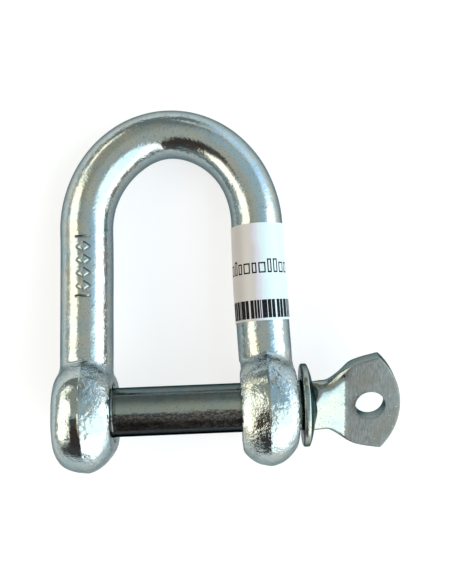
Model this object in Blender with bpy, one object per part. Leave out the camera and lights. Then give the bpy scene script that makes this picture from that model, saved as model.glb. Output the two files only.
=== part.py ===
"""Chain joining shackle: a round bar bent to a D, a screw pin with a flat tab, and a paper label on one leg.

Metres, +Z up. The shackle lies on the floor with the pin along X and the crown toward +Y.
The bow's own plane is XY of an empty that leans, so that the eyes and the crown both rest on z = 0.
"""

import math

import bpy
import bmesh
from mathutils import Vector

MM = 0.001

# Bow
BAR_DIAMETER = 12.0 * MM
LEG_SPACING = 40.1 * MM
CROWN_SPACING = 38.4 * MM
CROWN_HEIGHT = 21.5 * MM
PIN_TO_CROWN = 62.0 * MM
# Bending leaves the bar's inner side thinner: degrees round the crown from the plain leg, loss of radius
CROWN_THINNING = (
    (0, 0.3 * MM),
    (15, 0.5 * MM),
    (35, 0.95 * MM),
    (60, 0.95 * MM),
    (85, 1.15 * MM),
    (98, 1.0 * MM),
    (110, 0.5 * MM),
    (122, 0.15 * MM),
    (135, 0.0 * MM),
)
THINNING_START = 24.0 * MM

# Eyes: a lens shape that turns about the pin axis, with a raised parting line around its middle
EYE_RADIUS = 13.15 * MM
EYE_CREASE = 0.12
EYE_BLEND = 1.4 * MM
# For each side of an eye: half width, roundness power, and how much wider it grows below the pin,
# then the power and the crease of the flatter flanks that face +Z and -Z
PLAIN_OUTER_SIDE = (7.8 * MM, 2.4, 0.0, 4.2, 0.26)
PLAIN_INNER_SIDE = (8.0 * MM, 2.4, 0.0, 3.4, 0.15)
THREADED_OUTER_SIDE = (7.1 * MM, 3.4, 0.09, 3.4, 0.1)
THREADED_INNER_SIDE = (7.8 * MM, 2.05, 0.0, 4.0, 0.24)

# Flat faces, measured from the middle plane of each eye
THREADED_EYE_INNER = 6.05 * MM
THREADED_EYE_OUTER = 6.75 * MM
PLAIN_EYE_INNER = 5.75 * MM
PLAIN_EYE_OUTER = 6.2 * MM
SPOT_FACE_RADIUS = 10.2 * MM
BORE_CHAMFER = 0.5 * MM
CUTTER_OVERRUN = 4.0 * MM

# Pin
SHANK_DIAMETER = 10.9 * MM
THREAD_DIAMETER = 12.0 * MM
THREAD_GAP = 0.3 * MM
PLAIN_BORE_GAP = 0.5 * MM
TIP_RECESS = 0.4 * MM
TIP_CHAMFER = 0.9 * MM
COLLAR_DIAMETER = 18.4 * MM
COLLAR_THICKNESS = 1.65 * MM
COLLAR_ROUND = 0.5 * MM
COLLAR_GAP = 1.2 * MM

# Tab, measured from the collar's outer side
TAB_THICKNESS = 3.3 * MM
TAB_TURN = math.radians(26.0)
TAB_SLANT = math.radians(1.5)
TAB_LENGTH = 20.1 * MM
TAB_HALF_WIDTH = 11.2 * MM
TAB_END_RISE = 4.5 * MM
TAB_EDGE_ROUND = 0.5 * MM
TAB_NECK_LENGTH = 4.0 * MM
TAB_NECK_HALF_WIDTH = 5.6 * MM
TAB_HOLE_DIAMETER = 6.5 * MM
TAB_HOLE_FROM_END = 6.6 * MM
TAB_HOLE_OFF_CENTRE = 0.35 * MM
# The flare from neck to corner: share of the length, share of the widening
TAB_FLARE = ((0.1, 0.13), (0.2, 0.3), (0.3, 0.47), (0.4, 0.62), (0.5, 0.74), (0.7, 0.87))
# The neck is forged from round to flat: it is thickest in the middle of the collar's side,
# thinner than the blade at its edges, and runs out at the line where the flat blade begins
NECK_MIDDLE_RISE = 2.7 * MM
NECK_EDGE_THICKNESS = 1.3 * MM
NECK_POWER = 5
BLADE_START = 8.1 * MM
# The bell between the collar and the neck: share of the bell's length, share of the collar's radius
BELL_LENGTH = 2.6 * MM
BELL = ((0.0, 0.935), (0.13, 0.84), (0.29, 0.67), (0.44, 0.49), (0.67, 0.3), (1.0, 0.13))

# Paper label on the plain-eye leg
LABEL_FROM_PIN = 18.7 * MM
LABEL_HEIGHT = 20.9 * MM
LABEL_THICKNESS = 0.25 * MM
LABEL_GAP = 0.3 * MM
LABEL_WRAP = math.radians(333.0)

# How finely round shapes are divided
RING_POINTS = 40
ARC_STEPS = 24
EYE_STEPS = 12
TURNED_POINTS = 64
LABEL_STEPS = 44

# Derived
BAR_RADIUS = BAR_DIAMETER / 2
LEG_X = LEG_SPACING / 2
CROWN_X = CROWN_SPACING / 2
STRAIGHT_END = PIN_TO_CROWN - CROWN_HEIGHT
BEND_START = 0.6 * EYE_RADIUS
THREADED_BORE_RADIUS = THREAD_DIAMETER / 2 + THREAD_GAP
PLAIN_BORE_RADIUS = max(THREAD_DIAMETER, SHANK_DIAMETER) / 2 + PLAIN_BORE_GAP
THREADED_FACE_X = -(LEG_X + THREADED_EYE_OUTER)
THREADED_INNER_X = -(LEG_X - THREADED_EYE_INNER)
PLAIN_INNER_X = LEG_X - PLAIN_EYE_INNER
PLAIN_FACE_X = LEG_X + PLAIN_EYE_OUTER
COLLAR_X = PLAIN_FACE_X + COLLAR_GAP
TAB_X = COLLAR_X + COLLAR_THICKNESS
TAB_CORNER_AT = TAB_LENGTH - TAB_END_RISE
TAB_END_RADIUS = (TAB_HALF_WIDTH**2 + TAB_END_RISE**2) / (2 * TAB_END_RISE)
TIP_X = THREADED_FACE_X + TIP_RECESS
THREAD_END_X = THREADED_INNER_X - THREAD_GAP
LEAN = math.asin((EYE_RADIUS - BAR_RADIUS) / PIN_TO_CROWN)
CENTRE_X = (TAB_X + TAB_LENGTH + THREADED_FACE_X) / 2
CENTRE_Y = (PIN_TO_CROWN * math.cos(LEAN) + BAR_RADIUS - EYE_RADIUS) / 2


def clear_scene():
    for item in list(bpy.data.objects):
        bpy.data.objects.remove(item)


def make_material(name, colour, metallic, roughness):
    material = bpy.data.materials.new(name)
    material.use_nodes = True
    shader = material.node_tree.nodes["Principled BSDF"]
    shader.inputs["Base Color"].default_value = (*colour, 1.0)
    shader.inputs["Metallic"].default_value = metallic
    shader.inputs["Roughness"].default_value = roughness
    material.diffuse_color = (*colour, 1.0)
    return material


def make_empty(name, parent=None):
    empty = bpy.data.objects.new(name, None)
    empty.empty_display_size = BAR_RADIUS
    bpy.context.scene.collection.objects.link(empty)
    empty.parent = parent
    return empty


def make_object(name, mesh_data, parent, material=None):
    mesh = bpy.data.meshes.new(name)
    bmesh.ops.recalc_face_normals(mesh_data, faces=mesh_data.faces)
    mesh_data.to_mesh(mesh)
    mesh_data.free()
    made = bpy.data.objects.new(name, mesh)
    bpy.context.scene.collection.objects.link(made)
    made.parent = parent
    if material:
        mesh.materials.append(material)
    return made


def join_rings(rings, start=None, end=None):
    """A closed skin over rings of equal length, ended by single points or by flat caps."""
    mesh_data = bmesh.new()
    loops = [[mesh_data.verts.new(point) for point in ring] for ring in rings]
    count = len(loops[0])
    for first, second in zip(loops, loops[1:]):
        for i in range(count):
            j = (i + 1) % count
            mesh_data.faces.new((first[i], first[j], second[j], second[i]))
    for loop, tip in ((loops[0], start), (loops[-1], end)):
        if tip is None:
            mesh_data.faces.new(loop)
            continue
        point = mesh_data.verts.new(tip)
        for i in range(count):
            mesh_data.faces.new((loop[i], loop[(i + 1) % count], point))
    return mesh_data


def turned(profile, count=TURNED_POINTS):
    """A solid turned about X from (x, radius) pairs, with flat ends."""
    rings = []
    for x, radius in profile:
        ring = []
        for i in range(count):
            angle = 2 * math.pi * i / count
            ring.append(Vector((x, radius * math.cos(angle), radius * math.sin(angle))))
        rings.append(ring)
    return join_rings(rings)


def eye_reach(angle, along, sides):
    """How far the eye reaches from the leg's centre line in a direction, at a height above the pin."""
    if abs(along) >= EYE_RADIUS:
        return 0.0
    half_width, power, growth, flank_power, flank_crease = sides[0] if math.cos(angle) > 0 else sides[1]
    half_width += growth * max(-along, 0.0)
    low = 0.0
    high = EYE_RADIUS
    for _ in range(48):
        reach = (low + high) / 2
        across = abs(reach * math.cos(angle))
        radial = math.hypot(along, reach * math.sin(angle))
        facing = (reach * math.sin(angle) / max(radial, 1e-9)) ** 2
        shape = power + (flank_power - power) * facing
        crease = EYE_CREASE + (flank_crease - EYE_CREASE) * facing
        across_part = (across / half_width) ** shape
        radial_part = (radial / (EYE_RADIUS - crease * across)) ** shape
        if across_part + radial_part < 1:
            low = reach
        else:
            high = reach
    return low


def bow_reach(angle, along, sides):
    """The larger of bar and eye, with a hollow blend where the two are nearly equal."""
    eye = eye_reach(angle, along, sides)
    if along < 0:
        return max(eye, math.sqrt(max(BAR_RADIUS**2 - along**2, 0.0)))
    near = max(EYE_BLEND - abs(eye - BAR_RADIUS), 0.0) / EYE_BLEND
    return max(eye, BAR_RADIUS) + near**2 * EYE_BLEND / 4


def leg_x(along):
    """Half the distance between the legs: they draw together a little toward the crown."""
    share = min(max((along - BEND_START) / (STRAIGHT_END - BEND_START), 0.0), 1.0)
    eased = 1.14 * share - 0.14 * share**8
    return LEG_X + (CROWN_X - LEG_X) * eased


def leg_heights():
    heights = []
    for i in range(1, EYE_STEPS + 1):
        heights.append(-EYE_RADIUS * math.cos(math.pi / 2 * i / EYE_STEPS))
    heights[-1] = 0.0
    for share in (0.15, 0.3, 0.44, 0.55, 0.63, 0.7, 0.76, 0.81, 0.85, 0.89, 0.93, 0.97, 1.02, 1.08):
        heights.append(share * EYE_RADIUS)
    for share in (0.15, 0.3, 0.45, 0.6, 0.75, 0.9, 1.0):
        heights.append(1.08 * EYE_RADIUS + share * (STRAIGHT_END - 1.08 * EYE_RADIUS))
    return heights


def crown_loss(turn):
    """Radius lost on the inner side at an angle (degrees) round the crown."""
    for (low, first), (high, second) in zip(CROWN_THINNING, CROWN_THINNING[1:]):
        if turn <= high:
            return first + (second - first) * (turn - low) / (high - low)
    return 0.0


def bow_ring(centre, outward, along, sides, loss=0.0):
    ring = []
    for i in range(RING_POINTS):
        angle = 2 * math.pi * i / RING_POINTS
        reach = bow_reach(angle, along, sides)
        across = reach * math.cos(angle)
        if across < 0:
            across *= 1 - loss / BAR_RADIUS
        ring.append(centre + outward * across + Vector((0, 0, reach * math.sin(angle))))
    return ring


def bow_skin():
    heights = leg_heights()
    plain = (PLAIN_OUTER_SIDE, PLAIN_INNER_SIDE)
    threaded = (THREADED_OUTER_SIDE, THREADED_INNER_SIDE)
    rings = []
    for along in heights:
        loss = crown_loss(0) * max(along - THINNING_START, 0.0) / (STRAIGHT_END - THINNING_START)
        rings.append(bow_ring(Vector((leg_x(along), along, 0)), Vector((1, 0, 0)), along, plain, loss))
    for i in range(1, ARC_STEPS):
        turn = math.pi * i / ARC_STEPS
        centre = Vector((CROWN_X * math.cos(turn), STRAIGHT_END + CROWN_HEIGHT * math.sin(turn), 0))
        outward = Vector((math.cos(turn) / CROWN_X, math.sin(turn) / CROWN_HEIGHT, 0)).normalized()
        rings.append(bow_ring(centre, outward, PIN_TO_CROWN, plain, crown_loss(math.degrees(turn))))
    for along in reversed(heights):
        rings.append(bow_ring(Vector((-leg_x(along), along, 0)), Vector((-1, 0, 0)), along, threaded))
    return join_rings(rings, Vector((LEG_X, -EYE_RADIUS, 0)), Vector((-LEG_X, -EYE_RADIUS, 0)))


def eye_cutter(name, inner_x, outer_x, bore, parent):
    """Spot faces on both sides of one eye, joined by its bore."""
    outward = 1 if outer_x > inner_x else -1
    past = CUTTER_OVERRUN * outward
    mouth = bore + BORE_CHAMFER
    chamfer = BORE_CHAMFER * outward
    profile = (
        (inner_x - past, SPOT_FACE_RADIUS),
        (inner_x, SPOT_FACE_RADIUS),
        (inner_x, mouth),
        (inner_x + chamfer, bore),
        (outer_x - chamfer, bore),
        (outer_x, mouth),
        (outer_x, SPOT_FACE_RADIUS),
        (outer_x + past, SPOT_FACE_RADIUS),
    )
    cutter = make_object(name, turned(profile), parent)
    cutter.hide_render = True
    cutter.display_type = "WIRE"
    return cutter


def add_boolean(target, operation, other):
    modifier = target.modifiers.new(other.name, "BOOLEAN")
    modifier.operation = operation
    modifier.solver = "EXACT"
    modifier.object = other


def shade_round(item):
    """Smooth faces, with edges kept sharp where they meet steeply."""
    item.data.shade_smooth()
    item.data.set_sharp_from_angle(angle=math.radians(32))


def tab_half_width(along):
    """The tab's outline: a straight neck, a flare, and parallel sides past the corners."""
    if along >= TAB_CORNER_AT:
        return TAB_HALF_WIDTH
    knots = [(-COLLAR_THICKNESS, 0.0), (TAB_NECK_LENGTH, 0.0)]
    for share, widening in TAB_FLARE:
        knots.append((TAB_NECK_LENGTH + share * (TAB_CORNER_AT - TAB_NECK_LENGTH), widening))
    knots.append((TAB_CORNER_AT, 1.0))
    for (low, first), (high, second) in zip(knots, knots[1:]):
        if along <= high:
            widening = first + (second - first) * (along - low) / (high - low)
            return TAB_NECK_HALF_WIDTH + widening * (TAB_HALF_WIDTH - TAB_NECK_HALF_WIDTH)
    return TAB_HALF_WIDTH


def tab_half_thickness(along, share_across):
    left = min(max(1.0 - along / BLADE_START, 0.0), 1.0)
    edge = TAB_THICKNESS / 2 - (TAB_THICKNESS - NECK_EDGE_THICKNESS) / 2 * left
    return edge + NECK_MIDDLE_RISE * left * (1 - abs(share_across) ** NECK_POWER)


def tab_end(share_across):
    """Where the tab's round end lies, at a share of its half width."""
    across = share_across * TAB_HALF_WIDTH
    return TAB_LENGTH - TAB_END_RADIUS + math.sqrt(TAB_END_RADIUS**2 - across**2)


def place_in_tab(item, along, across):
    """Lays a piece on the tab's plane: turned about the pin, and slanted a little toward the crown."""
    item.rotation_euler = (TAB_TURN, 0, 0)
    item.rotation_euler.rotate_axis("Z", TAB_SLANT)
    item.location = Vector((TAB_X, 0, 0)) + item.rotation_euler.to_matrix() @ Vector((along, across, 0))


def make_tab(parent):
    """Two grids, the tab's upper and under face, joined by walls round their rims."""
    mesh_data = bmesh.new()
    shares = [-1.0, -0.89, -0.75, -0.6, -0.45, -0.3, -0.15, 0.0, 0.15, 0.3, 0.45, 0.6, 0.75, 0.89, 1.0]
    neck = [-COLLAR_THICKNESS / 2 + (BLADE_START + COLLAR_THICKNESS / 2) * i / 7 for i in range(8)]
    layers = []
    for side in (-1, 1):
        rows = []
        for along in neck:
            rows.append([(along, share) for share in shares])
        for i in range(1, 9):
            rows.append([(BLADE_START + (tab_end(share) - BLADE_START) * i / 8, share) for share in shares])
        layer = []
        for row in rows:
            points = []
            for along, share in row:
                height = side * tab_half_thickness(along, share)
                points.append(mesh_data.verts.new((along, share * tab_half_width(along), height)))
            layer.append(points)
        for first, second in zip(layer, layer[1:]):
            for i in range(len(shares) - 1):
                mesh_data.faces.new((first[i], first[i + 1], second[i + 1], second[i]))
        sides = [row[-1] for row in layer[1:-1]] + layer[-1][::-1] + [row[0] for row in layer[-2:0:-1]]
        layers.append(layer[0] + sides)
    low, high = layers
    for i in range(len(low)):
        j = (i + 1) % len(low)
        mesh_data.faces.new((low[i], low[j], high[j], high[i]))
    tab = make_object("tab_blank", mesh_data, parent)
    place_in_tab(tab, 0, 0)
    bevel = tab.modifiers.new("rounded edges", "BEVEL")
    bevel.width = TAB_EDGE_ROUND
    bevel.segments = 3
    bevel.limit_method = "ANGLE"
    bevel.angle_limit = math.radians(30)
    tab.hide_render = True
    tab.display_type = "WIRE"
    return tab


def make_tab_hole(parent):
    radius = TAB_HOLE_DIAMETER / 2
    rings = []
    for height, grow in ((-3.0, 0.6), (-0.5, 0.6), (-0.38, 0.0), (0.38, 0.0), (0.5, 0.6), (3.0, 0.6)):
        ring = []
        for i in range(40):
            angle = 2 * math.pi * i / 40
            reach = radius + grow * TAB_EDGE_ROUND
            ring.append(Vector((reach * math.cos(angle), reach * math.sin(angle), height * TAB_THICKNESS)))
        rings.append(ring)
    hole = make_object("tab_hole_cutter", join_rings(rings), parent)
    place_in_tab(hole, TAB_LENGTH - TAB_HOLE_FROM_END, -TAB_HOLE_OFF_CENTRE)
    hole.hide_render = True
    hole.display_type = "WIRE"
    return hole


def pin_profile():
    thread = THREAD_DIAMETER / 2
    shank = SHANK_DIAMETER / 2
    collar = COLLAR_DIAMETER / 2
    profile = [
        (TIP_X, thread - TIP_CHAMFER),
        (TIP_X + TIP_CHAMFER, thread),
        (THREAD_END_X, thread),
        (THREAD_END_X + (thread - shank), shank),
        (COLLAR_X, shank),
        (COLLAR_X, collar - COLLAR_ROUND),
    ]
    for turn in (30, 60, 90):
        step = math.radians(turn)
        out = COLLAR_ROUND * (1 - math.cos(step))
        profile.append((COLLAR_X + out, collar - COLLAR_ROUND * (1 - math.sin(step))))
    profile.append((TAB_X - COLLAR_ROUND, collar))
    for share_along, share in BELL:
        profile.append((TAB_X + share_along * BELL_LENGTH, share * collar))
    return profile


def make_label(parent, material):
    inner = BAR_RADIUS + LABEL_GAP
    outer = inner + LABEL_THICKNESS
    first = math.pi / 2 - LABEL_WRAP / 2
    rings = []
    for i in range(LABEL_STEPS + 1):
        angle = first + LABEL_WRAP * i / LABEL_STEPS
        outward = Vector((math.cos(angle), 0, math.sin(angle)))
        up = Vector((0, LABEL_HEIGHT, 0))
        rings.append([outward * inner, outward * outer, outward * outer + up, outward * inner + up])
    label = make_object("paper_label", join_rings(rings), parent, material)
    foot = leg_x(LABEL_FROM_PIN)
    label.location = (foot, LABEL_FROM_PIN, 0)
    label.rotation_euler = (0, 0, math.atan((foot - leg_x(LABEL_FROM_PIN + LABEL_HEIGHT)) / LABEL_HEIGHT))
    shade_round(label)
    return label


def main():
    clear_scene()
    steel = make_material("zinc_plated_steel", (0.55, 0.60, 0.62), 1.0, 0.28)
    paper = make_material("white_paper", (0.86, 0.86, 0.85), 0.0, 0.55)

    rest = make_empty("shackle_rest")
    rest.location = (-CENTRE_X, -CENTRE_Y, EYE_RADIUS)
    rest.rotation_euler = (-LEAN, 0, 0)
    pin_axis = make_empty("pin_axis", rest)

    bow = make_object("bow", bow_skin(), rest, steel)
    shade_round(bow)
    plain = eye_cutter("plain_eye_cutter", PLAIN_INNER_X, PLAIN_FACE_X, PLAIN_BORE_RADIUS, rest)
    threaded = eye_cutter("threaded_eye_cutter", THREADED_INNER_X, THREADED_FACE_X, THREADED_BORE_RADIUS, rest)
    add_boolean(bow, "DIFFERENCE", plain)
    add_boolean(bow, "DIFFERENCE", threaded)

    pin = make_object("screw_pin", turned(pin_profile(), 48), pin_axis, steel)
    shade_round(pin)
    add_boolean(pin, "UNION", make_tab(pin_axis))
    add_boolean(pin, "DIFFERENCE", make_tab_hole(pin_axis))

    make_label(rest, paper)


main()
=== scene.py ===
"""Looks for the chain joining shackle: finer metal, threads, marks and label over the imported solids."""

import math
from collections import namedtuple

import bmesh
import bpy
import numpy as np
from mathutils import Matrix, Vector


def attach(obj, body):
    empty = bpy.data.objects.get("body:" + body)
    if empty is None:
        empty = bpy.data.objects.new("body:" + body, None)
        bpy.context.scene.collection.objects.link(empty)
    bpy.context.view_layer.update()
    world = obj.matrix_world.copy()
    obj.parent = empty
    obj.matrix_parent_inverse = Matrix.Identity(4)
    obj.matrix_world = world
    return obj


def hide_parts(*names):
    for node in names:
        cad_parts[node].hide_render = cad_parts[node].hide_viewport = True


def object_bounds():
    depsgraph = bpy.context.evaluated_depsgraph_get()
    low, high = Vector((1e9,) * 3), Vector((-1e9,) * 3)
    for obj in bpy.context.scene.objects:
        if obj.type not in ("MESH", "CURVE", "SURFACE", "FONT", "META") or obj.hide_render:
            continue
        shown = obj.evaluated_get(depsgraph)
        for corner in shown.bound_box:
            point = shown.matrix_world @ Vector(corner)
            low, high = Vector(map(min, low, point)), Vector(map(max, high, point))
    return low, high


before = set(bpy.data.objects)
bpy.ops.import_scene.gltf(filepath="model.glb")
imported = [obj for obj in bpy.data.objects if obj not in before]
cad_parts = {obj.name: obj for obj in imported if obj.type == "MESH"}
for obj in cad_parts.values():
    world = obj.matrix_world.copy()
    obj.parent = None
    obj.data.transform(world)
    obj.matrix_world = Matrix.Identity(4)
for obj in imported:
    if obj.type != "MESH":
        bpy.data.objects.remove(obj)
cad_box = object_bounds()

MM = 0.001

# Sizes of the solids, repeated from the part's source, with a finer flank to each eye (mm)
BAR = 6.0
LEG_X = 20.05
CROWN_X = 19.2
CROWN_HEIGHT = 21.5
PIN_TO_CROWN = 62.0
STRAIGHT_END = PIN_TO_CROWN - CROWN_HEIGHT
EYE_RADIUS = 13.15
EYE_CREASE = 0.12
EYE_BLEND = 1.4
# One side of an eye: its width, roundness, widening below the pin and spot face; then the roundness of its
# flank, the flank's slope at the parting line and its further slope from FLANK_START on
Side = namedtuple("Side", "half_width roundness widening face flank_roundness slope more_slope")
PLAIN_SIDES = (Side(7.8, 2.4, 0.0, 6.2, 4.2, 0.17, 0.0), Side(8.0, 2.4, 0.0, 5.75, 5.0, 0.30, 0.07))
THREADED_SIDES = (Side(7.1, 3.4, 0.09, 6.75, 4.8, 0.11, 0.16), Side(7.8, 2.05, 0.0, 6.05, 4.0, 0.24, 0.0))
FLANK_START = 1.7
SPOT_FACE = 10.2
BEND_START = 0.6 * EYE_RADIUS
THINNING_START = 24.0
# Radius lost on the crown's inner side: degrees from the plain leg, and mm
THINNING = (
    (0, 0.3), (15, 0.5), (35, 0.95), (60, 0.95), (85, 1.15),
    (98, 1.0), (110, 0.5), (122, 0.15), (135, 0.0),
)
THREADED_FACE = -(LEG_X + 6.75)
THREADED_INNER = -(LEG_X - 6.05)
PLAIN_INNER = LEG_X - 5.75
PLAIN_FACE = LEG_X + 6.2
PLAIN_BORE = 6.5
THREADED_BORE = 6.3
BORE_CHAMFER = 0.5
COLLAR_X = PLAIN_FACE + 1.2
TAB_X = COLLAR_X + 1.65
TIP_X = THREADED_FACE + 0.4
THREAD_END = THREADED_INNER - 0.3
TIP_CHAMFER = 0.9
COLLAR = 9.2
COLLAR_EDGE = 0.5
SHANK = 5.45
TAB_LENGTH = 20.1
TAB_HALF = 11.2
TAB_RISE = 4.5
TAB_NECK = 5.6
TAB_NECK_LENGTH = 4.0
TAB_THICK = 3.3
BLADE_START = 8.1
TAB_TURN = math.radians(26.0)
TAB_SLANT = math.radians(1.5)
HOLE_ALONG = TAB_LENGTH - 6.6
HOLE_ACROSS = -0.35
LABEL_FROM_PIN = 18.7
LABEL_HEIGHT = 20.9

# Finer sizes that only the looks have (mm)
SKIN = 0.045
CREST = 5.94
PITCH = 1.75
THREAD_DEPTH = 0.83
NUT_ROOT = 6.42
NUT_DEPTH = 0.36
SHANK_FILLET = 0.45
COLLAR_FACE = 7.4
TAB_EDGE = 0.42
NECK_RISE = 1.7
NECK_THINNING = 1.15
STAMP_LOW = 25.2
STAMP_HIGH = 39.6
STAMP_BARS = (25.8, 39.0)
STAMP_DIAMONDS = (28.0, 30.9, 33.8, 36.7)
STAMP_HALF_BAR = 1.5
STAMP_HALF_DIAMOND = 0.95
STAMP_DEPTH = 0.17
STAMP_LIP = 0.02
LABEL_RADIUS = 6.1
LABEL_PAPER = 0.07
LABEL_HALF_WRAP = math.radians(170.0)
LABEL_SKEW = math.radians(1.9)
LABEL_OFFSET = 0.15
LABEL_STRETCH = 1.03
STRIPES_START = -8.7
STRIPES_END = 9.0
STRIPES_LOW = 0.5
STRIPES_HIGH = 4.4
PRINT_LOW = 10.1
PRINT_TALL = 2.3
PRINT_STROKE = 0.3
BOXES_START = -8.4
BOX_GAP = 0.42
# A box's upper and lower stroke, as a share of PRINT_TALL
BOX_STROKE = 0.14
BOX_HEIGHTS = (1, 1.3)
# Width of each blank box of the label's printed line, and its height as a share of PRINT_TALL
BOXES = (
    (1.2, 1), (1.0, 1.3), (1.1, 1), (1.6, 1), (1.1, 1),
    (1.6, 1), (1.0, 1.3), (1.1, 1.3), (1.4, 1), (1.2, 1),
)

# Points round each swept or turned piece
BOW_AROUND = 224
PIN_AROUND = 128
HOLE_AROUND = 72

# Rings of an eye below the pin and of the crown, steps between the other rings (mm), and the label's grid
EYE_RINGS = 34
CROWN_RINGS = 76
EYE_STEP = 0.33
PLAIN_LEG_STEP = 0.6
THREADED_LEG_STEP = 0.55
STAMP_STEP = 0.155
THREAD_STEP = 0.11
NUT_STEP = 0.125
BORE_STEP = 0.5
SHANK_STEP = 0.8
LABEL_COLUMNS = 120
LABEL_ROWS = 15

# The bow lies on the floor, tipped until the eyes and the crown both touch it
LEAN = math.asin((EYE_RADIUS - BAR) / PIN_TO_CROWN)
CENTRE_X = (TAB_X + TAB_LENGTH + THREADED_FACE) / 2
CENTRE_Y = (PIN_TO_CROWN * math.cos(LEAN) + BAR - EYE_RADIUS) / 2
REST = Matrix.Translation((-CENTRE_X, -CENTRE_Y, EYE_RADIUS)) @ Matrix.Rotation(-LEAN, 4, "X")

# The photograph's camera: its axes and place over the bow (mm), and its focal length in pixels
CAMERA_RIGHT = Vector((0.9991476, -0.0406394, -0.0072452))
CAMERA_UP = Vector((0.0411227, 0.9952012, 0.0887894))
CAMERA_BACK = Vector((0.0036021, -0.0890117, 0.9960241))
CAMERA_PLACE = (12.5, 8.020, 200.0)
FOCAL_PIXELS = 892.22
PHOTO_HEIGHT = 584.0
SENSOR_HEIGHT = 24.0

# The floor's size and its gap below the object (m)
FLOOR_HALF = 1.2
FLOOR_GAP = 0.0001


# Numbers and curves


def waves(points, size, count, seed):
    """Smooth bumps of about one size (mm), made of many plane waves, with unit spread."""
    made = np.random.default_rng(seed)
    directions = made.normal(size=(count, 3))
    directions /= np.linalg.norm(directions, axis=1)[:, None]
    rates = 2 * math.pi / (size * made.uniform(0.75, 1.5, count))
    phases = made.uniform(0, 2 * math.pi, count)
    total = np.zeros(len(points))
    for direction, rate, phase in zip(directions, rates, phases):
        total += np.sin(points @ direction * rate + phase)
    return total * math.sqrt(2 / count)


def smoothstep(value, low, high):
    share = np.clip((value - low) / (high - low), 0, 1)
    return share * share * (3 - 2 * share)


def soft_min(first, second, width):
    share = np.clip(0.5 + 0.5 * (second - first) / width, 0, 1)
    return second + (first - second) * share - width * share * (1 - share)


def spread(low, high, step):
    """Even steps of about one size from low on, without high itself."""
    count = max(1, round((high - low) / step))
    return [low + (high - low) * i / count for i in range(count)]


def around(count):
    return 2 * math.pi * np.arange(count) / count


def smooth_through(knots, steps):
    """Points of a smooth curve through the knots, without the first knot."""
    made = []
    for i in range(len(knots) - 1):
        before = knots[max(i - 1, 0)]
        later = knots[min(i + 2, len(knots) - 1)]
        for step in range(steps):
            share = (step + 1) / steps
            made.append([
                0.5 * (2 * b + (c - a) * share + (2 * a - 5 * b + 4 * c - d) * share**2
                       + (3 * b - a - 3 * c + d) * share**3)
                for a, b, c, d in zip(before, knots[i], knots[i + 1], later)
            ])
    return made


def thread_slope(x, angles, flat, slope):
    """0 on one flat of the thread and 1 on the other, with slopes between; flat and slope in pitches."""
    phase = (x / PITCH - angles / (2 * math.pi)) % 1.0
    return np.clip((np.abs(phase - 0.5) - flat) / slope, 0, 1)


# Meshes


def placed(name, data):
    made = bpy.data.objects.new(name, data)
    bpy.context.scene.collection.objects.link(made)
    return made


def mesh_object(name, points, faces):
    mesh = bpy.data.meshes.new(name)
    mesh.from_pydata([tuple(p) for p in points], [], [tuple(f) for f in faces])
    mesh.update()
    made = placed(name, mesh)
    mesh.shade_smooth()
    return made


def closed_mesh(name, points, faces):
    """A mesh whose faces all point outward."""
    made = mesh_object(name, points, faces)
    data = bmesh.new()
    data.from_mesh(made.data)
    bmesh.ops.recalc_face_normals(data, faces=data.faces)
    data.to_mesh(made.data)
    data.free()
    return made


def move_points(made, points):
    made.data.vertices.foreach_set("co", points.astype(np.float32).ravel())
    made.data.update()


def ring_faces(rings, count, start, end):
    """Quads between rings of equal length, with fans to a point at each end."""
    faces = []
    index = np.arange(count)
    after = (index + 1) % count
    for row in range(rings - 1):
        base = row * count
        faces.extend(zip(base + index, base + after, base + count + after, base + count + index))
    faces.extend((int(b), int(a), start) for a, b in zip(index, after))
    last = (rings - 1) * count
    faces.extend((int(last + a), int(last + b), end) for a, b in zip(index, after))
    return faces


def turned(name, profile, count, swap=None):
    """A piece turned about X from (x, radius) rows; swap(x, angles, radius) may change a ring's radius."""
    angles = around(count)
    rings = []
    for x, radius in profile:
        reach = np.full(count, radius, float)
        if swap:
            reach = swap(x, angles, reach)
        rings.append(np.stack([np.full(count, x), reach * np.cos(angles), reach * np.sin(angles)], 1))
    points = np.concatenate(rings + [[[profile[0][0], 0, 0], [profile[-1][0], 0, 0]]])
    total = len(rings) * count
    return closed_mesh(name, points, ring_faces(len(rings), count, total, total + 1))


def cut(target, other, operation="DIFFERENCE"):
    modifier = target.modifiers.new(other.name, "BOOLEAN")
    modifier.operation = operation
    modifier.solver = "EXACT"
    modifier.object = other
    bpy.context.view_layer.update()
    graph = bpy.context.evaluated_depsgraph_get()
    result = bpy.data.meshes.new_from_object(target.evaluated_get(graph))
    target.modifiers.clear()
    target.data = result
    bpy.data.objects.remove(other)


def to_world(points):
    """Bow-frame millimetres to row-frame metres."""
    rotation = np.array(REST.to_3x3())
    offset = np.array(REST.translation)
    return (np.asarray(points, float) @ rotation.T + offset) * MM


def seat(made, body, node, material, sharp):
    """Puts a piece built in bow-frame millimetres into the row frame and finishes it; sharp in degrees."""
    move_points(made, to_world([tuple(v.co) for v in made.data.vertices]))
    made.data.materials.clear()
    made.data.materials.append(material)
    made.data.shade_smooth()
    made.data.set_sharp_from_angle(angle=math.radians(sharp))
    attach(made, body)
    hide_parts(node)


# Bow


def at_angles(angles, sides):
    """The outer side's values where an angle points away from the bow's middle, else the inner side's."""
    outer = np.cos(angles) > 0
    return Side(*(np.where(outer, away, towards) for away, towards in zip(*sides)))


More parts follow.
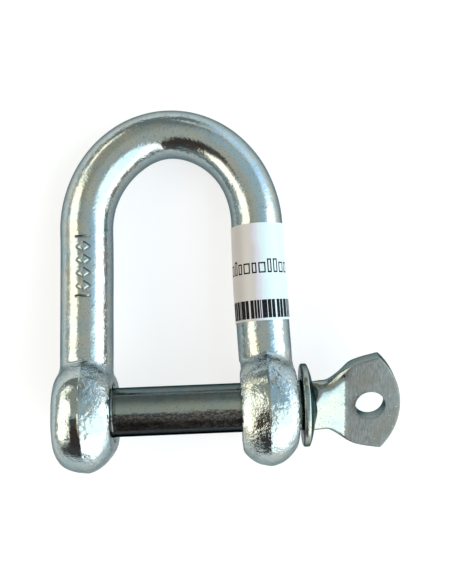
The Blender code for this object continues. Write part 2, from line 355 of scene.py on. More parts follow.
def eye_reach(angles, along, sides):
    """How far the eye reaches from the leg's centre line, for each angle of one ring."""
    if abs(along) >= EYE_RADIUS:
        return np.zeros(len(angles))
    cosine = np.cos(angles)
    sine = np.sin(angles)
    side = at_angles(angles, sides)
    half_width = side.half_width + side.widening * max(-along, 0.0)
    base_slope = EYE_CREASE + 0.24 * smoothstep(along, 6.0, 11.0)
    low = np.zeros(len(angles))
    high = np.full(len(angles), EYE_RADIUS)
    for _ in range(40):
        reach = (low + high) / 2
        across = np.abs(reach * cosine)
        radial = np.hypot(along, reach * sine)
        facing = (reach * sine / np.maximum(radial, 1e-9)) ** 2
        power = side.roundness + (side.flank_roundness - side.roundness) * facing
        slope = base_slope + (side.slope - base_slope) * facing
        fall = slope * across + side.more_slope * facing * np.maximum(across - FLANK_START, 0.0)
        inside = (across / half_width) ** power + (radial / (EYE_RADIUS - fall)) ** power < 1
        low = np.where(inside, reach, low)
        high = np.where(inside, high, reach)
    return low


def bow_reach(angles, along, sides):
    """The eye or the bar, whichever reaches further, cut off at the spot faces."""
    eye = eye_reach(angles, along, sides)
    if along < 0:
        reach = np.maximum(eye, math.sqrt(max(BAR**2 - along**2, 0.0)))
    else:
        near = np.maximum(EYE_BLEND - np.abs(eye - BAR), 0.0) / EYE_BLEND
        reach = np.maximum(eye, BAR) + near**2 * EYE_BLEND / 4
    if along > SPOT_FACE + 1.0:
        return reach
    cosine = np.abs(np.cos(angles)) + 1e-6
    face = at_angles(angles, sides).face
    radial = np.hypot(along, face / cosine * np.sin(angles))
    limit = (face + np.maximum(radial - SPOT_FACE + 0.3, 0.0) * 1.6) / cosine
    return soft_min(reach, limit, 0.35 / np.maximum(cosine, 0.5))


def crown_loss(turn):
    """Radius lost on the bar's inner side, smoothed over a few degrees round the crown."""
    turns, losses = zip(*THINNING)
    return float(np.interp(turn + np.linspace(-11, 11, 15), turns, losses).mean())


def leg_loss(along):
    return crown_loss(0) * float(smoothstep(along, THINNING_START, STRAIGHT_END + 1))


def leg_x(along):
    share = min(max((along - BEND_START) / (STRAIGHT_END - BEND_START), 0.0), 1.0)
    return LEG_X + (CROWN_X - LEG_X) * (1.14 * share - 0.14 * share**8)


def stamp_strokes():
    """Hollow diamonds between plain bars: each stroke's ends, as (height on the leg, distance across)."""
    strokes = [((at, -STAMP_HALF_BAR), (at, STAMP_HALF_BAR)) for at in STAMP_BARS]
    for at in STAMP_DIAMONDS:
        corners = ((at - STAMP_HALF_DIAMOND, 0.1), (at, -1.3), (at + STAMP_HALF_DIAMOND, 0.1), (at, 1.5))
        strokes += [(corners[i], corners[(i + 1) % 4]) for i in range(4)]
    return strokes


def stamp_depth(along, across):
    """Depth of the stamped strokes at each point of the leg's top side, with a low lip round them."""
    nearest = np.full(len(across), 9.0)
    for (a0, b0), (a1, b1) in stamp_strokes():
        da = a1 - a0
        db = b1 - b0
        share = np.clip(((along - a0) * da + (across - b0) * db) / (da * da + db * db), 0, 1)
        nearest = np.minimum(nearest, np.hypot(along - a0 - share * da, across - b0 - share * db))
    groove = 1 - smoothstep(nearest, 0.06, 0.3)
    lip = np.exp(-(((nearest - 0.4) / 0.13) ** 2))
    return STAMP_DEPTH * groove - STAMP_LIP * lip


def roughen(bow, points, forged):
    """The forging's waves, stronger on the eyes and absent on machined faces, within the solid's skin."""
    normals = np.array([tuple(v.normal) for v in bow.data.vertices])
    rough = forged * 0.016 * waves(points, 4.2, 26, 3) + 0.016 * waves(points, 10.0, 18, 4)
    rough += forged * 0.005 * waves(points, 1.5, 26, 5)
    flat = np.zeros(len(points), bool)
    for face in (THREADED_FACE, THREADED_INNER, PLAIN_INNER, PLAIN_FACE):
        flat |= (np.abs(points[:, 0] - face) < 0.12) & (points[:, 1] < SPOT_FACE)
    rough = np.where(flat, 0.0, rough)
    rough = np.minimum(rough, 2.2 * np.std(rough))
    move_points(bow, points + normals * (rough - SKIN)[:, None])


def make_bow():
    """Rings up the plain leg, round the crown and down the threaded leg, each with its own outline."""
    angles = around(BOW_AROUND)
    eye_end = 1.1 * EYE_RADIUS
    eye = [-EYE_RADIUS * math.cos(math.pi / 2 * i / EYE_RINGS) for i in range(1, EYE_RINGS)]
    eye += spread(0.0, eye_end, EYE_STEP)
    plain_leg = eye + spread(eye_end, STRAIGHT_END, PLAIN_LEG_STEP) + [STRAIGHT_END]
    threaded_leg = eye + spread(eye_end, STAMP_LOW, THREADED_LEG_STEP)
    threaded_leg += spread(STAMP_LOW, STAMP_HIGH, STAMP_STEP)
    threaded_leg += spread(STAMP_HIGH, STRAIGHT_END, PLAIN_LEG_STEP) + [STRAIGHT_END]
    rings = []
    forged = []

    def ring(centre, outward, along, sides, marks=False, loss=0.0):
        reach = bow_reach(angles, along, sides)
        if marks:
            across = -reach * np.cos(angles)
            top = np.sin(angles) > 0.25
            reach = reach - np.where(top, stamp_depth(along, across), 0.0)
        away = reach * np.cos(angles)
        away = np.where(away < 0, away * (1 - loss / BAR), away)
        out = away[:, None] * np.array(outward)
        out[:, 2] += reach * np.sin(angles)
        rings.append(np.array(centre) + out)
        forged.append(np.full(BOW_AROUND, 1 - smoothstep(along, 9.0, 17.0)))

    for along in plain_leg:
        ring((leg_x(along), along, 0), (1, 0, 0), along, PLAIN_SIDES, loss=leg_loss(along))
    for i in range(1, CROWN_RINGS):
        turn = math.pi * i / CROWN_RINGS
        centre = (CROWN_X * math.cos(turn), STRAIGHT_END + CROWN_HEIGHT * math.sin(turn), 0)
        outward = Vector((math.cos(turn) / CROWN_X, math.sin(turn) / CROWN_HEIGHT, 0)).normalized()
        ring(centre, tuple(outward), PIN_TO_CROWN, PLAIN_SIDES, loss=crown_loss(math.degrees(turn)))
    for along in reversed(threaded_leg):
        marks = STAMP_LOW <= along <= STAMP_HIGH
        ring((-leg_x(along), along, 0), (-1, 0, 0), along, THREADED_SIDES, marks)
    points = np.concatenate(rings + [[[LEG_X, -EYE_RADIUS, 0], [-LEG_X, -EYE_RADIUS, 0]]])
    forged = np.concatenate(forged + [[1.0, 1.0]])
    total = len(rings) * BOW_AROUND
    made = closed_mesh("bow_forging", points, ring_faces(len(rings), BOW_AROUND, total, total + 1))
    roughen(made, points, forged)
    return made


def bore_cutter(name, left, right, bore, threaded):
    """What is cut from an eye: its bore, a chamfer at each mouth and, where it is threaded, the thread."""

    def reach(x, angles, radius):
        if threaded:
            radius = NUT_ROOT - NUT_DEPTH * thread_slope(x, angles, 0.06, 0.32)
        depth = max(min(x - left, right - x), 0.0)
        return np.maximum(radius, bore + BORE_CHAMFER - depth)

    rows = [left - 4] + spread(left - 0.01, right + 0.01, NUT_STEP if threaded else BORE_STEP)
    rows += [right + 0.01, right + 4]
    return turned(name, [(x, bore) for x in rows], PIN_AROUND, reach)


# Pin


def make_pin_body():
    """The thread with its chamfered tip, the shank, the collar, and the bell that leads to the tab."""

    def reach(x, angles, radius):
        if x > THREAD_END + 1.2:
            return radius
        thread = CREST - THREAD_DEPTH * thread_slope(x, angles, 0.07, 0.3)
        fade = smoothstep(x, THREAD_END - 0.9, THREAD_END + 0.5)
        thread = thread * (1 - fade) + SHANK * fade
        tip = CREST - TIP_CHAMFER + max(x - TIP_X, 0.0)
        return np.minimum(thread, tip)

    rows = [(x, CREST) for x in spread(TIP_X, THREAD_END + 1.2, THREAD_STEP)]
    rows += [(x, SHANK) for x in spread(THREAD_END + 1.25, COLLAR_X - 0.5, SHANK_STEP)]
    for turn in (0, 30, 60, 90):
        step = math.radians(turn)
        along = COLLAR_X - SHANK_FILLET * (1 - math.sin(step))
        rows.append((along, SHANK + SHANK_FILLET * (1 - math.cos(step))))
    rows.append((COLLAR_X, COLLAR_FACE))
    for turn in (0, 18, 36, 54, 72, 90):
        step = math.radians(turn)
        along = COLLAR_X + COLLAR_EDGE * (1 - math.cos(step))
        rows.append((along, COLLAR - COLLAR_EDGE * (1 - math.sin(step))))
    rows.append((TAB_X - 0.5, COLLAR))
    # The bell: distance from the tab's start (mm), and radius as a share of the collar's
    bell = (
        (-0.5, 1.0), (-0.2, 0.985), (0.0, 0.935), (0.35, 0.84),
        (0.75, 0.67), (1.15, 0.49), (1.75, 0.3), (2.6, 0.13),
    )
    rows += [(TAB_X + along, min(share, 1.0) * COLLAR) for along, share in smooth_through(bell, 3)]
    return turned("pin_forging", rows, PIN_AROUND, reach)


def tab_half_width(along):
    corner_at = TAB_LENGTH - TAB_RISE
    knots = [(-2.0, 0.0), (TAB_NECK_LENGTH, 0.0)]
    for share, widening in ((0.1, 0.13), (0.2, 0.3), (0.3, 0.47), (0.4, 0.62), (0.5, 0.74), (0.7, 0.87)):
        knots.append((TAB_NECK_LENGTH + share * (corner_at - TAB_NECK_LENGTH), widening))
    knots += [(corner_at, 1.0), (TAB_LENGTH + 1, 1.0)]
    xs, ys = zip(*knots)
    if along < corner_at - 0.5:
        widening = np.interp(along + np.linspace(-0.7, 0.7, 9), xs, ys).mean()
    else:
        widening = np.interp(along, xs, ys)
    return TAB_NECK + widening * (TAB_HALF - TAB_NECK)


def tab_half_thickness(along, share_across):
    """Half the tab's thickness, swelling into the neck, where one side is round and the other square."""
    neck = min(max(1.0 - along / BLADE_START, 0.0), 1.0)
    face = TAB_THICK / 2 + NECK_RISE * neck
    if share_across > 0:
        power = 1.9 + 6.1 * smoothstep(along, 0.6, 3.0)
        thin = 1 - smoothstep(along, BLADE_START - 1.6, BLADE_START + 1.4)
        rim = TAB_THICK / 2 - NECK_THINNING * thin
    else:
        power = 16.0
        rim = TAB_THICK / 2 - neck
    return rim + (face - rim) * (1 - abs(share_across) ** power)


def tab_end(share_across):
    radius = (TAB_HALF**2 + TAB_RISE**2) / (2 * TAB_RISE)
    return TAB_LENGTH - radius + math.sqrt(radius**2 - (share_across * TAB_HALF) ** 2)


def tab_matrix(along, across):
    rotation = Matrix.Rotation(TAB_TURN, 4, "X") @ Matrix.Rotation(TAB_SLANT, 4, "Z")
    return Matrix.Translation((TAB_X, 0, 0)) @ rotation @ Matrix.Translation((along, across, 0))


def make_tab():
    """Two grids, the tab's upper and under face, joined by walls round their rims."""
    data = bmesh.new()
    shares = [-1.0] + [-0.9 + 0.1 * i for i in range(19)] + [1.0]
    rows = [[(-0.8 + (BLADE_START + 0.8) * i / 14, share) for share in shares] for i in range(15)]
    for i in range(1, 17):
        rows.append([(BLADE_START + (tab_end(share) - BLADE_START) * i / 16, share) for share in shares])
    rims = []
    for side in (-1, 1):
        layer = []
        for row in rows:
            layer.append([
                data.verts.new((x, share * tab_half_width(x), side * tab_half_thickness(x, share)))
                for x, share in row
            ])
        for first, second in zip(layer, layer[1:]):
            for i in range(len(shares) - 1):
                data.faces.new((first[i], first[i + 1], second[i + 1], second[i]))
        outer = [row[-1] for row in layer[1:-1]] + layer[-1][::-1] + [row[0] for row in layer[-2:0:-1]]
        rims.append(layer[0] + outer)
    low, high = rims
    for i in range(len(low)):
        j = (i + 1) % len(low)
        data.faces.new((low[i], low[j], high[j], high[i]))
    bmesh.ops.recalc_face_normals(data, faces=data.faces)
    mesh = bpy.data.meshes.new("tab_blank")
    data.to_mesh(mesh)
    data.free()
    made = placed("tab_blank", mesh)
    mesh.transform(tab_matrix(0, 0))
    bevel = made.modifiers.new("rounded edges", "BEVEL")
    bevel.width = TAB_EDGE
    bevel.segments = 4
    bevel.limit_method = "ANGLE"
    bevel.angle_limit = math.radians(30)
    return made


def make_tab_hole():
    """What is cut from the tab: two halves that mirror each other, each a little wider at its mouth."""
    rows = [(-6.0, 3.4), (-1.72, 3.4), (-1.6, 3.33), (-1.45, 3.28), (-1.25, 3.25)]
    rows += [(-x, radius) for x, radius in reversed(rows)]
    made = turned("tab_hole", rows, HOLE_AROUND)
    made.data.transform(tab_matrix(HOLE_ALONG, HOLE_ACROSS) @ Matrix.Rotation(math.radians(-90), 4, "Y"))
    return made


# Label


def label_stripes():
    """Start and end of each stripe (mm of arc from the label's middle)."""
    made = np.random.default_rng(31)
    stripes = []
    at = STRIPES_START
    while at < STRIPES_END:
        wide = made.choice([0.24, 0.5, 0.8, 1.15], p=[0.26, 0.22, 0.28, 0.24])
        gap = made.choice([0.13, 0.2, 0.4], p=[0.6, 0.28, 0.12])
        stripes.append((at, at + wide))
        at = at + wide + gap
    return stripes


def label_boxes():
    """A row of blank boxes stands for the printed line: start, end, bottom and top of each stroke."""
    strokes = []
    at = BOXES_START
    for wide, tall in BOXES:
        left = at + PRINT_STROKE
        right = at + wide - PRINT_STROKE
        strokes += [(at, left, 0, tall), (right, at + wide, 0, tall)]
        strokes += [(left, right, 0, BOX_STROKE), (left, right, tall - BOX_STROKE, tall)]
        at += wide + BOX_GAP
    return strokes


def label_columns(edges):
    """Even columns round the leg and one at each printed edge, without any that nearly coincide."""
    end = LABEL_HALF_WRAP * LABEL_RADIUS
    even = np.round(np.linspace(-end, end, LABEL_COLUMNS), 4)
    columns = sorted(set(even) | {round(edge, 4) for edge in edges})
    kept = [columns[0]]
    for value in columns[1:]:
        if value - kept[-1] > 0.004:
            kept.append(value)
    return kept


def label_point(across, up, radius):
    angle = math.pi / 2 - across / LABEL_RADIUS
    along = LABEL_FROM_PIN + LABEL_OFFSET + up * LABEL_STRETCH + across * math.tan(LABEL_SKEW)
    away = radius * math.cos(angle)
    if away < 0:
        away *= 1 - leg_loss(along) / BAR
    return (leg_x(along) + away, along, radius * math.sin(angle))


def make_label():
    """Paper round the plain leg, with a greeked line and a band of stripes as its print."""
    stripes = label_stripes()
    boxes = label_boxes()
    columns = label_columns([edge for mark in stripes + boxes for edge in mark[:2]])
    shares = [share for tall in BOX_HEIGHTS for share in (BOX_STROKE, tall - BOX_STROKE, tall)]
    rows = sorted(set(
        [0.0, STRIPES_LOW, STRIPES_HIGH, PRINT_LOW, LABEL_HEIGHT]
        + [round(PRINT_LOW + share * PRINT_TALL, 3) for share in shares]
        + list(np.round(np.linspace(0, LABEL_HEIGHT, LABEL_ROWS), 3))
    ))
    points = []
    for radius in (LABEL_RADIUS, LABEL_RADIUS - LABEL_PAPER):
        points += [label_point(across, up, radius) for up in rows for across in columns]
    wide = len(columns)
    high = len(rows)
    layer = wide * high
    faces = []
    printed = []

    def printed_at(across, up):
        if STRIPES_LOW < up < STRIPES_HIGH and any(start < across < end for start, end in stripes):
            return True
        share = (up - PRINT_LOW) / PRINT_TALL
        return any(start < across < end and low < share < top for start, end, low, top in boxes)

    for row in range(high - 1):
        for column in range(wide - 1):
            a = row * wide + column
            across = (columns[column] + columns[column + 1]) / 2
            faces.append((a, a + 1, a + 1 + wide, a + wide))
            printed.append(printed_at(across, (rows[row] + rows[row + 1]) / 2))
            faces.append((a + layer, a + wide + layer, a + 1 + wide + layer, a + 1 + layer))
            printed.append(False)
    for row in range(high - 1):
        for column in (0, wide - 1):
            a = row * wide + column
            faces.append((a, a + wide, a + wide + layer, a + layer))
    for column in range(wide - 1):
        for row in (0, high - 1):
            a = row * wide + column
            faces.append((a, a + 1, a + 1 + layer, a + layer))
    printed += [False] * (len(faces) - len(printed))
    label = closed_mesh("wrapped_label", points, faces)
    seat(label, "bow", "paper_label", paper_material(), sharp=40)
    label.data.materials.append(ink_material())
    label.data.polygons.foreach_set("material_index", np.array(printed, np.int32))


# Materials


class Nodes:
    """A short way to lay out shader nodes."""

    def __init__(self, tree):
        self.tree = tree
        tree.nodes.clear()

    def feed(self, socket, value):
        """Links a socket to another node's value, or sets it to a plain one."""
        if isinstance(value, bpy.types.NodeSocket):
            self.tree.links.new(value, socket)
        else:
            socket.default_value = value

    def add(self, kind, inputs=None, **settings):
        node = self.tree.nodes.new(kind)
        for name, value in settings.items():
            setattr(node, name, value)
        for name, value in (inputs or {}).items():
            self.feed(node.inputs[name], value)
        return node

    def math(self, operation, first, second=0.0, third=0.0):
        inputs = {0: first, 1: second, 2: third}
        return self.add("ShaderNodeMath", inputs, operation=operation).outputs[0]

    def times(self, first, second):
        return self.math("MULTIPLY", first, second)

    def times_plus(self, first, second, added):
        return self.math("MULTIPLY_ADD", first, second, added)

    def vector(self, operation, first, second, output="Vector"):
        inputs = {0: first, 1: second}
        return self.add("ShaderNodeVectorMath", inputs, operation=operation).outputs[output]

    def split(self, vector):
        return self.add("ShaderNodeSeparateXYZ", {0: vector}).outputs

    def facing(self):
        """The parts of the direction that the surface faces in."""
        return self.split(self.add("ShaderNodeTexCoord").outputs["Normal"])

    def ramp(self, value, low, high, to_low=0.0, to_high=1.0, kind="SMOOTHSTEP"):
        inputs = {"Value": value, "From Min": low, "From Max": high, "To Min": to_low, "To Max": to_high}
        return self.add("ShaderNodeMapRange", inputs, interpolation_type=kind).outputs[0]

    def between(self, share, first, second):
        """A number between two others, by a share."""
        return self.ramp(share, 0, 1, first, second, "LINEAR")

    def mix(self, share, first, second, blend="MIX"):
        inputs = {0: share, 6: first, 7: second}
        return self.add("ShaderNodeMix", inputs, data_type="RGBA", blend_type=blend).outputs[2]

    def noise(self, where, scale, detail=2.0, rough=0.5, distortion=0.0):
        inputs = {"Vector": where, "Scale": scale, "Detail": detail, "Roughness": rough}
        return self.add("ShaderNodeTexNoise", inputs | {"Distortion": distortion}).outputs["Fac"]

    def stretched_noise(self, where, scales, detail, rough):
        return self.noise(self.vector("MULTIPLY", where, scales), 1.0, detail, rough)

    def bump(self, height, distance):
        inputs = {"Height": height, "Strength": 1.0, "Distance": distance}
        return self.add("ShaderNodeBump", inputs).outputs[0]


def rgb(red, green, blue):
    return (red, green, blue, 1.0)


def new_material(name, shown, fixed):
    """A material with its fixed inputs set, its nodes, its shader's inputs and the place on the piece."""
    material = bpy.data.materials.new(name)
    material.use_nodes = True
    material.diffuse_color = rgb(*shown)
    nodes = Nodes(material.node_tree)
    shader = nodes.add("ShaderNodeBsdfPrincipled", fixed)
    nodes.add("ShaderNodeOutputMaterial", {"Surface": shader.outputs[0]})
    where = nodes.add("ShaderNodeTexCoord").outputs["Object"]
    return material, nodes, shader.inputs, where


def plate_colour(nodes, where, scale, flank_shade_strength, forged):
    """Clouded zinc with fine darker specks, and painted shade that darkens the flanks, speckled light and
    dark where the forging is rough.
    """
    clouds = nodes.noise(where, scale, 3.0, 0.55)
    tint = nodes.mix(nodes.ramp(clouds, 0.36, 0.66), rgb(0.40, 0.475, 0.485), rgb(0.475, 0.495, 0.45))
    speck = nodes.noise(where, 2800.0, 2.0, 0.6)
    colour = nodes.mix(nodes.ramp(speck, 0.56, 0.70, 0.0, 0.45), tint, rgb(0.17, 0.19, 0.18))
    upward = nodes.math("ABSOLUTE", nodes.facing()["Z"])
    uneven = nodes.times_plus(nodes.noise(where, 900.0, 3.0, 0.6), 0.3, -0.15)
    # Painted shade: surfaces that face sideways rather than up or down darken towards a mottled dull teal
    flank = nodes.ramp(nodes.math("ADD", upward, uneven), 0.3, 0.78, 1.0, 0.0)
    mottle = nodes.ramp(nodes.noise(where, 2200.0, 3.0, 0.65), 0.38, 0.66)
    flank_shade = nodes.mix(mottle, rgb(0.145, 0.20, 0.225), rgb(0.24, 0.305, 0.33))
    speckle = nodes.ramp(nodes.noise(where, 1900.0, 3.0, 0.7, 0.5), 0.47, 0.6)
    speckled_flank_shade = nodes.mix(speckle, rgb(0.12, 0.165, 0.19), rgb(0.52, 0.59, 0.61))
    flank_shade = nodes.mix(nodes.times(forged, 0.8), flank_shade, speckled_flank_shade)
    return nodes.mix(nodes.times(flank, flank_shade_strength), colour, flank_shade)


def forged_height(nodes, where, forged):
    """Orange peel and a finer grain, which is stronger on the eyes and on steep flanks."""
    parts = nodes.split(where)
    facing = nodes.facing()
    right_flank = nodes.ramp(facing["X"], -0.08, 0.08)
    steep = nodes.ramp(nodes.math("ABSOLUTE", facing["Z"]), 0.68, 0.88, 1.0, 0.0)
    upper = nodes.ramp(parts["Y"], -0.031, -0.027)
    coarser = nodes.times(nodes.times(upper, forged), right_flank)
    fine_grain = nodes.noise(where, 1900.0, 2.0, 0.6)
    coarse_grain = nodes.noise(where, 1200.0, 3.0, 0.6)
    grain = nodes.between(coarser, fine_grain, coarse_grain)
    left_share = nodes.ramp(parts["X"], -0.02, 0.0, 0.55, 1.25)
    left_share = nodes.times(left_share, nodes.ramp(upper, 0, 1, 1, 0.5))
    right_share = nodes.ramp(upper, 0, 1, 0.8, 1.6)
    eye_share = nodes.between(right_flank, left_share, right_share)
    patchy = nodes.ramp(nodes.noise(where, 300.0, 2.0, 0.5), 0.4, 0.6, 0.45, 1.5)
    patchy = nodes.times(patchy, nodes.between(forged, 1, eye_share))
    rough = nodes.math("MAXIMUM", forged, nodes.times(steep, 0.6))
    rough = nodes.times_plus(nodes.times(steep, forged), 0.9, rough)
    depth = nodes.times(nodes.times_plus(rough, 0.072, 0.03), patchy)
    peel = nodes.noise(where, 800.0, 1.0, 0.5)
    height = nodes.times(peel, nodes.times_plus(forged, 0.016, 0.01))
    return nodes.times_plus(grain, depth, height)


def zinc_plate():
    """Zinc plate over forged steel, rougher on the eyes than on the legs and crown."""
    fixed = {"Metallic": 1.0, "Specular Tint": rgb(0.33, 0.38, 0.39)}
    material, nodes, inputs, where = new_material("zinc_plated_forging", (0.45, 0.48, 0.47), fixed)
    forged = nodes.ramp(nodes.split(where)["Y"], -0.0105, -0.0185)
    # How strongly the flanks get painted shade: less on the eyes than on the legs and crown
    flank_shade_strength = nodes.times_plus(forged, -0.3, 0.7)
    nodes.feed(inputs["Base Color"], plate_colour(nodes, where, 160.0, flank_shade_strength, forged))
    rough = nodes.ramp(nodes.noise(where, 420.0, 4.0, 0.6), 0.3, 0.7, 0.1, 0.18)
    nodes.feed(inputs["Roughness"], nodes.times_plus(forged, -0.045, rough))
    nodes.feed(inputs["Normal"], nodes.bump(forged_height(nodes, where, forged), 0.001))
    return material


def blade_share(nodes, where, blade_from):
    """1 on the tab's matt faces: past the neck's ragged edge, and on the two faces but not on the rims."""
    along = nodes.times_plus(nodes.noise(where, 1700.0, 3.0, 0.65), 0.0012, nodes.split(where)["X"])
    past_neck = nodes.ramp(along, blade_from + 0.0003, blade_from + 0.0005)
    middle = REST @ tab_matrix(TAB_LENGTH / 2, 0)
    level = (middle.to_3x3() @ Vector((0, 0, 1))).normalized()
    height = nodes.vector("DOT_PRODUCT", where, tuple(level), "Value")
    height = nodes.math("ABSOLUTE", nodes.math("SUBTRACT", height, middle.translation.dot(level) * MM))
    return nodes.times(past_neck, nodes.ramp(height, 0.00135, 0.0016))


def shank_colour(nodes, where, blotches):
    """Plate with painted shade on the shank's upper side, and a flecked, darker painted shade on its lower
    side.
    """
    # The plate's painted shade on the flanks, at a fixed strength
    colour = plate_colour(nodes, where, 190.0, 0.55, 0.0)
    colour = nodes.mix(1.0, colour, rgb(0.74, 0.74, 0.70), "MULTIPLY")
    sideways = nodes.facing()["Y"]
    shank_end = PLAIN_INNER - CENTRE_X
    shank = nodes.ramp(nodes.split(where)["X"], shank_end * MM, (shank_end + 2) * MM, 1.0, 0.0)
    # Painted shade: the shank's upper side is darkened
    upper_shade = nodes.times(nodes.ramp(sideways, 0.3, 0.75, 0.0, 0.6), shank)
    colour = nodes.mix(upper_shade, colour, rgb(0.10, 0.125, 0.13))
    # Painted shade on the shank's lower side: flecked dark brown, darker still where it faces further down
    flecks = nodes.stretched_noise(where, (1900.0, 2600.0, 2600.0), 3.0, 0.7)
    lower_shade = nodes.mix(nodes.ramp(flecks, 0.38, 0.66), rgb(0.028, 0.031, 0.036), rgb(0.20, 0.175, 0.16))
    lower_shade = nodes.mix(nodes.ramp(sideways, -0.66, -0.54, 0.85, 0.0), lower_shade, rgb(0.016, 0.02, 0.026))
    uneven = nodes.times_plus(blotches, 0.35, nodes.times(sideways, -1.0))
    lower_shade_share = nodes.times(nodes.ramp(uneven, 0.04, 0.16, 0.0, 0.93), shank)
    return nodes.mix(lower_shade_share, colour, lower_shade)


def blade_colour(nodes, where, blade_from, blotches, streaks):
    """Matt rolled faces with streaks, browner patches, a dark smudge beside the hole and bright chips."""
    matt = nodes.mix(nodes.ramp(streaks, 0.36, 0.66), rgb(0.27, 0.285, 0.275), rgb(0.155, 0.17, 0.165))
    greener = nodes.ramp(nodes.split(where)["X"], blade_from + 0.004, blade_from + 0.011, 0.0, 0.5)
    matt = nodes.mix(greener, matt, rgb(0.235, 0.28, 0.265))
    browner = nodes.ramp(nodes.noise(where, 260.0, 3.0, 0.6), 0.4, 0.65, 0.0, 0.6)
    matt = nodes.mix(browner, matt, rgb(0.205, 0.195, 0.165))
    hole = (REST @ tab_matrix(HOLE_ALONG, HOLE_ACROSS)).translation
    smudge_at = tuple((hole + Vector((-1.2, 0.2, 0))) * MM)
    from_smudge = nodes.times_plus(blotches, 0.002, nodes.vector("DISTANCE", where, smudge_at, "Value"))
    matt = nodes.mix(nodes.ramp(from_smudge, 0.0036, 0.0052, 0.75, 0.0), matt, rgb(0.09, 0.08, 0.07))
    chips = nodes.ramp(nodes.noise(where, 1500.0, 2.0, 0.55), 0.70, 0.76, 0.0, 0.8)
    return nodes.mix(chips, matt, rgb(0.62, 0.64, 0.62))


def turned_zinc():
    """The same plate over a turned pin: fine rings round the shank, and a matt rolled blade."""
    fixed = {"Metallic": 1.0, "Specular Tint": rgb(0.14, 0.18, 0.19)}
    material, nodes, inputs, where = new_material("zinc_plated_pin", (0.45, 0.48, 0.47), fixed)
    blade_from = (TAB_X + BLADE_START - CENTRE_X) * MM
    blotches = nodes.stretched_noise(where, (700.0, 1900.0, 1900.0), 4.0, 0.7)
    streaks = nodes.stretched_noise(where, (3600.0, 620.0, 620.0), 4.0, 0.75)
    blade = blade_share(nodes, where, blade_from)
    matt = blade_colour(nodes, where, blade_from, blotches, streaks)
    nodes.feed(inputs["Base Color"], nodes.mix(blade, shank_colour(nodes, where, blotches), matt))
    rough = nodes.ramp(nodes.noise(where, 500.0, 4.0, 0.6), 0.3, 0.7, 0.14, 0.25)
    nodes.feed(inputs["Roughness"], nodes.times_plus(blade, 0.34, rough))
    rings = nodes.stretched_noise(where, (5200.0, 300.0, 300.0), 2.0, 0.5)
    peel = nodes.noise(where, 1500.0, 2.0, 0.5)
    height = nodes.times_plus(rings, 0.008, nodes.times(peel, 0.018))
    height = nodes.times_plus(nodes.times(streaks, blade), 0.03, height)
    nodes.feed(inputs["Normal"], nodes.bump(height, 0.001))
    return material


def paper_material():
    """Coated paper with painted shade on its left side, a painted reflection of the lamps, lilac then
    cyan, towards its right, and a faint fibre.
    """
    fixed = {"Coat Weight": 0.6, "Coat Roughness": 0.28}
    material, nodes, inputs, where = new_material("label_paper", (0.86, 0.86, 0.86), fixed)
    fibre = nodes.stretched_noise(where, (1800.0, 600.0, 1800.0), 4.0, 0.6)
    clouds = nodes.noise(where, 240.0, 2.0, 0.5)
    # Painted shade and painted reflection by which way the paper faces: greyish pink on the left, lilac,
    # then bright cyan on the right
    lit_side = nodes.math("ADD", nodes.facing()["X"], nodes.times_plus(clouds, 0.3, -0.15))
    colour = nodes.mix(nodes.ramp(lit_side, -0.3, -0.06), rgb(0.575, 0.535, 0.525), rgb(0.67, 0.64, 0.74))
    colour = nodes.mix(nodes.ramp(lit_side, -0.04, 0.1), colour, rgb(0.66, 0.76, 0.765))
    colour = nodes.mix(nodes.ramp(fibre, 0.3, 0.8, 0.0, 0.12), colour, rgb(0.56, 0.55, 0.56))
    nodes.feed(inputs["Base Color"], colour)
    nodes.feed(inputs["Roughness"], nodes.ramp(clouds, 0.3, 0.7, 0.42, 0.52))
    nodes.feed(inputs["Normal"], nodes.bump(fibre, 0.00001))
    return material


def ink_material():
    fixed = {"Specular IOR Level": 0.1}
    material, nodes, inputs, where = new_material("label_print", (0.1, 0.1, 0.11), fixed)
    worn = nodes.noise(where, 3000.0, 3.0, 0.6)
    colour = nodes.mix(nodes.ramp(worn, 0.45, 0.75), rgb(0.006, 0.006, 0.009), rgb(0.035, 0.035, 0.042))
    nodes.feed(inputs["Base Color"], colour)
    nodes.feed(inputs["Roughness"], nodes.ramp(worn, 0.3, 0.7, 0.6, 0.75))
    return material


# Floor, light and camera


def make_floor():
    """A floor that is white to the camera and in reflections, but throws less light back at the object."""
    corners = [(-FLOOR_HALF, -FLOOR_HALF, 0), (FLOOR_HALF, -FLOOR_HALF, 0)]
    corners += [(FLOOR_HALF, FLOOR_HALF, 0), (-FLOOR_HALF, FLOOR_HALF, 0)]
    floor = mesh_object("floor", corners, [(0, 1, 2, 3)])
    floor.location.z = cad_box[0][2] - FLOOR_GAP
    material = bpy.data.materials.new("pale_floor")
    material.use_nodes = True
    nodes = Nodes(material.node_tree)
    path = nodes.add("ShaderNodeLightPath").outputs
    seen = nodes.math("MAXIMUM", path["Is Camera Ray"], path["Is Glossy Ray"])
    seen = nodes.math("MAXIMUM", seen, path["Is Transmission Ray"])
    diffuse = nodes.add("ShaderNodeBsdfDiffuse", {"Color": rgb(0.44, 0.438, 0.438)})
    glow = nodes.add("ShaderNodeEmission", {"Color": rgb(1, 1, 1), "Strength": nodes.times(seen, 0.66)})
    both = nodes.add("ShaderNodeAddShader", {0: diffuse.outputs[0], 1: glow.outputs[0]})
    nodes.add("ShaderNodeOutputMaterial", {"Surface": both.outputs[0]})
    floor.data.materials.append(material)


def direction(azimuth, polar):
    a = math.radians(azimuth)
    p = math.radians(polar)
    return (math.sin(p) * math.cos(a), math.sin(p) * math.sin(a), math.cos(p))


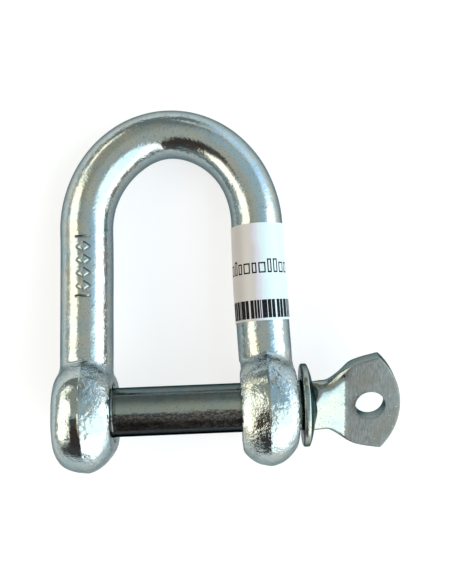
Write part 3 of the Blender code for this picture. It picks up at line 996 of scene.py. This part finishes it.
def make_world():
    """A dim grey room with two broad soft lights, warm from the left and cool from the right."""
    world = bpy.data.worlds.new("studio")
    bpy.context.scene.world = world
    world.use_nodes = True
    nodes = Nodes(world.node_tree)
    ray = nodes.add("ShaderNodeTexCoord").outputs["Generated"]

    def with_patches(colour, patches):
        """Lays round patches over a colour: azimuth, polar angle, inner and outer radius, and light."""
        for azimuth, polar, inner, outer, light in patches:
            aligned = nodes.vector("DOT_PRODUCT", ray, direction(azimuth, polar), "Value")
            inside = nodes.ramp(aligned, math.cos(math.radians(outer)), math.cos(math.radians(inner)))
            colour = nodes.mix(inside, colour, light)
        return colour

    # The room, darker beyond the crown, with faint glows beside that and blue light from the right
    colour = with_patches(rgb(0.64, 0.66, 0.62), (
        (90, 88, 27, 64, rgb(0.26, 0.30, 0.30)),
        (130, 46, 12, 30, rgb(0.50, 0.49, 0.41)),
        (46, 44, 10, 32, rgb(0.56, 0.76, 0.88)),
        (-22, 66, 36, 52, rgb(0.72, 1.0, 1.3)),
        (24, 84, 8, 30, rgb(1.3, 1.85, 2.4)),
        (52, 84, 8, 26, rgb(0.95, 1.4, 1.9)),
    ))
    # A low bright strip that the crown mirrors as an arc, with a gap in its middle
    parts = nodes.split(ray)
    strip = nodes.times(nodes.ramp(parts["Z"], 0.27, 0.33), nodes.ramp(parts["Z"], 0.40, 0.46, 1.0, 0.0))
    strip = nodes.times(strip, nodes.ramp(parts["Y"], 0.1, 0.3))
    left = nodes.ramp(parts["X"], -0.5, -0.36, 1.0, 0.0)
    colour = nodes.mix(nodes.times(strip, left), colour, rgb(2.7, 2.5, 2.05))
    right = nodes.times(nodes.ramp(parts["X"], 0.0, 0.1), nodes.ramp(parts["X"], 0.55, 0.75, 1.0, 0.0))
    colour = nodes.mix(nodes.times(strip, right), colour, rgb(1.15, 1.08, 0.98))
    # Warm light from the left, cool light from the right, and the dark side before the eyes
    colour = with_patches(colour, (
        (180, 58, 11, 15, rgb(2.9, 2.7, 2.25)),
        (160, 53, 15, 19, rgb(2.6, 2.45, 2.05)),
        (205, 61, 14, 18, rgb(2.9, 2.7, 2.25)),
        (-5, 70, 24, 32, rgb(2.8, 3.0, 3.1)),
        (-50, 70, 29, 35, rgb(2.9, 3.0, 3.05)),
        (-24, 45, 20, 26, rgb(1.9, 2.4, 2.65)),
        (201, 28, 10, 13, rgb(0.11, 0.1, 0.1)),
        (-128, 39, 16, 20, rgb(0.07, 0.052, 0.048)),
        (-107, 62, 21, 25, rgb(0.07, 0.055, 0.052)),
        (-110, 84, 21, 25, rgb(0.09, 0.09, 0.09)),
    ))
    # The camera itself sees a white background
    room = nodes.add("ShaderNodeBackground", {"Color": colour, "Strength": 1.0})
    white = nodes.add("ShaderNodeBackground", {"Color": rgb(1, 1, 1), "Strength": 1.0})
    seen = nodes.add("ShaderNodeLightPath").outputs["Is Camera Ray"]
    shown = nodes.add("ShaderNodeMixShader", {0: seen, 1: room.outputs[0], 2: white.outputs[0]})
    nodes.add("ShaderNodeOutputWorld", {"Surface": shown.outputs[0]})


def make_camera():
    data = bpy.data.cameras.new("photo_camera")
    data.sensor_fit = "VERTICAL"
    data.sensor_height = SENSOR_HEIGHT
    data.lens = FOCAL_PIXELS * SENSOR_HEIGHT / PHOTO_HEIGHT
    data.clip_start = 0.01
    data.clip_end = 10.0
    camera = placed("photo_camera", data)
    turn = Matrix((CAMERA_RIGHT, CAMERA_UP, CAMERA_BACK)).transposed().to_4x4()
    pose = REST @ Matrix.Translation(CAMERA_PLACE) @ turn
    pose.translation *= MM
    camera.matrix_world = pose
    bpy.context.scene.camera = camera


# Build

bow = make_bow()
cut(bow, bore_cutter("plain_bore", PLAIN_INNER, PLAIN_FACE, PLAIN_BORE, threaded=False))
cut(bow, bore_cutter("threaded_bore", THREADED_FACE, THREADED_INNER, THREADED_BORE, threaded=True))
seat(bow, "bow", "bow", zinc_plate(), sharp=38)

pin = make_pin_body()
cut(pin, make_tab(), "UNION")
cut(pin, make_tab_hole())
seat(pin, "pin", "screw_pin", turned_zinc(), sharp=34)

make_label()
make_floor()
make_world()
make_camera()
bpy.context.scene.view_settings.view_transform = "Standard"
